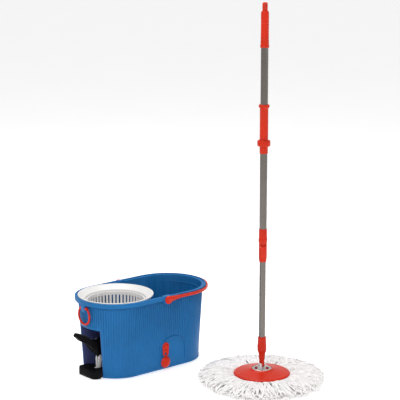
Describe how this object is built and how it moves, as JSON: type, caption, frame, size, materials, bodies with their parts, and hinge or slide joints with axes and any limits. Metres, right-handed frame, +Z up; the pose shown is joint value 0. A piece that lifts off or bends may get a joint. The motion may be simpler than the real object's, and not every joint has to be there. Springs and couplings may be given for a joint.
{
  "type": "spin mop with pedal bucket",
  "caption": "Spin mop set: oval bucket with a pedal-driven spin basket, bail and drain, and a telescopic mop with a tilting round head and loose strings.",
  "frame": {"origin": "on the floor, under the axis of the spin basket", "axes": "+X towards the rinse end of the bucket, away from the pedal; +Z up; the mop stands on the -Y side"},
  "size_m": [0.6192, 0.718, 1.15],
  "materials": {
    "tub_plastic": "satin moulded",
    "red_plastic": "glossy moulded",
    "white_plastic": "satin moulded",
    "black_plastic": "textured",
    "dark_rubber": "matt",
    "steel_tube": "brushed",
    "steel": "satin",
    "strings": "soft looped microfibre"
  },
  "bodies": {
    "bucket": {"bucket_tub": "tub_plastic", "base_cover": "black_plastic", "base_screws": "steel", "rubber_feet": "dark_rubber", "bail_pins": "red_plastic", "pour_ring_pin": "steel", "drain_strap": "red_plastic", "strap_button": "red_plastic", "foot_plate": "black_plastic", "pedal_axle": "steel", "return_springs": "steel", "step_axle_pin": "steel", "upper_bearing": "white_plastic", "lower_bearing": "white_plastic", "thrust_ball": "steel", "spindle_seal": "dark_rubber"},
    "collar": {"splash_collar": "white_plastic"},
    "bail": {"bail_handle": "red_plastic"},
    "pour_ring": {"pour_ring": "red_plastic"},
    "drain": {"drain_plug": "red_plastic", "drain_seal": "dark_rubber"},
    "pedal": {"pedal_lever": "black_plastic", "pedal_pad": "dark_rubber", "drive_fork": "white_plastic", "fork_pin": "steel"},
    "rack": {"rack": "white_plastic"},
    "step_gear": {"step_gear": "white_plastic"},
    "drive_gear": {"drive_gear": "white_plastic", "one_way_clutch": "steel"},
    "spindle": {"spindle": "steel"},
    "basket": {"spin_basket": "white_plastic", "drive_cone": "white_plastic", "cone_screws": "steel"},
    "mop_head": {"head_plate": "red_plastic", "bearing_ring": "steel"},
    "mop_strings": {"string_ring": "white_plastic", "mop_strings": "strings"},
    "knuckle": {"swivel_knuckle": "white_plastic", "knuckle_clip": "steel", "tilt_pin": "steel"},
    "lower_pole": {"yoke": "red_plastic", "yoke_screw": "steel", "lower_tube": "steel_tube", "tube_guide": "white_plastic"},
    "upper_pole": {"upper_tube": "steel_tube", "lock_sleeve": "red_plastic", "lock_pin": "steel", "clamp_wedge": "white_plastic", "top_grip": "red_plastic"},
    "lock_lever": {"lock_lever": "red_plastic"},
    "turn_sleeve": {"turn_sleeve": "red_plastic", "sleeve_collar": "red_plastic"},
    "hanger": {"hanger_cap": "red_plastic"}
  },
  "joints": [
    {"name": "bail_swing", "type": "hinge", "parent": "bucket", "child": "bail", "pos_m": [0.108, 0, 0.231], "axis": [0, -1, 0], "range_deg": [0, 164]},
    {"name": "pour_ring_swing", "type": "hinge", "parent": "bucket", "child": "pour_ring", "pos_m": [-0.121, 0, 0.219], "axis": [0, 1, 0], "range_deg": [-4, 100]},
    {"name": "drain_pull", "type": "slide", "parent": "bucket", "child": "drain", "axis": [0, -1, 0], "range_m": [0, 0.04]},
    {"name": "collar_lift", "type": "slide", "parent": "bucket", "child": "collar", "axis": [0, 0, 1], "range_m": [0, 0.2]},
    {"name": "pedal_press", "type": "hinge", "parent": "bucket", "child": "pedal", "pos_m": [-0.052, 0, 0.098], "axis": [0, -1, 0], "range_deg": [0, 25], "stiffness_Nm_per_rad": 1.5, "springref_deg": -34.38},
    {"name": "rack_slide", "type": "slide", "parent": "bucket", "child": "rack", "axis": [1, 0, 0], "range_m": [0, 0.037]},
    {"name": "step_gear_turn", "type": "hinge", "parent": "bucket", "child": "step_gear", "pos_m": [0.015, 0.036, 0.02], "axis": [0, 0, 1], "range_deg": [0, 236]},
    {"name": "drive_gear_turn", "type": "hinge", "parent": "bucket", "child": "drive_gear", "pos_m": [0, 0, 0.03], "axis": [0, 0, 1], "range_deg": [-784, 0]},
    {"name": "spindle_freewheel", "type": "hinge", "parent": "drive_gear", "child": "spindle", "pos_m": [0, 0, 0.1], "axis": [0, 0, 1], "continuous": true},
    {"name": "basket_lift", "type": "slide", "parent": "spindle", "child": "basket", "axis": [0, 0, 1], "range_m": [0, 0.2]},
    {"name": "mop_lift", "type": "slide", "parent": "bucket", "child": "mop_head", "axis": [0, 0, 1], "range_m": [0, 0.3]},
    {"name": "strings_pull_off", "type": "slide", "parent": "mop_head", "child": "mop_strings", "axis": [0, 0, -1], "range_m": [0, 0.05]},
    {"name": "head_spin", "type": "hinge", "parent": "mop_head", "child": "knuckle", "pos_m": [0.265, -0.384, 0.028], "axis": [0, 0, 1], "continuous": true},
    {"name": "pole_tilt", "type": "hinge", "parent": "knuckle", "child": "lower_pole", "pos_m": [0.265, -0.384, 0.052], "axis": [1, 0, 0], "range_deg": [-48, 70]},
    {"name": "pole_telescope", "type": "slide", "parent": "lower_pole", "child": "upper_pole", "axis": [0, 0, 1], "range_m": [-0.2, 0.1]},
    {"name": "lock_lever_open", "type": "hinge", "parent": "upper_pole", "child": "lock_lever", "pos_m": [0.25472, -0.39626, 0.424], "axis": [-0.766, 0.6428, 0], "range_deg": [0, 80]},
    {"name": "turn_sleeve_spin", "type": "hinge", "parent": "upper_pole", "child": "turn_sleeve", "pos_m": [0.265, -0.384, 0.78], "axis": [0, 0, 1], "continuous": true},
    {"name": "hanger_turn", "type": "hinge", "parent": "upper_pole", "child": "hanger", "pos_m": [0.265, -0.384, 1.13], "axis": [0, 0, 1], "continuous": true}
  ],
  "couplings": [
    {"joint": "rack_slide", "follows": "pedal_press", "m_per_rad": 0.084364},
    {"joint": "step_gear_turn", "follows": "pedal_press", "ratio": 9.3737},
    {"joint": "drive_gear_turn", "follows": "pedal_press", "ratio": -31.246}
  ]
}
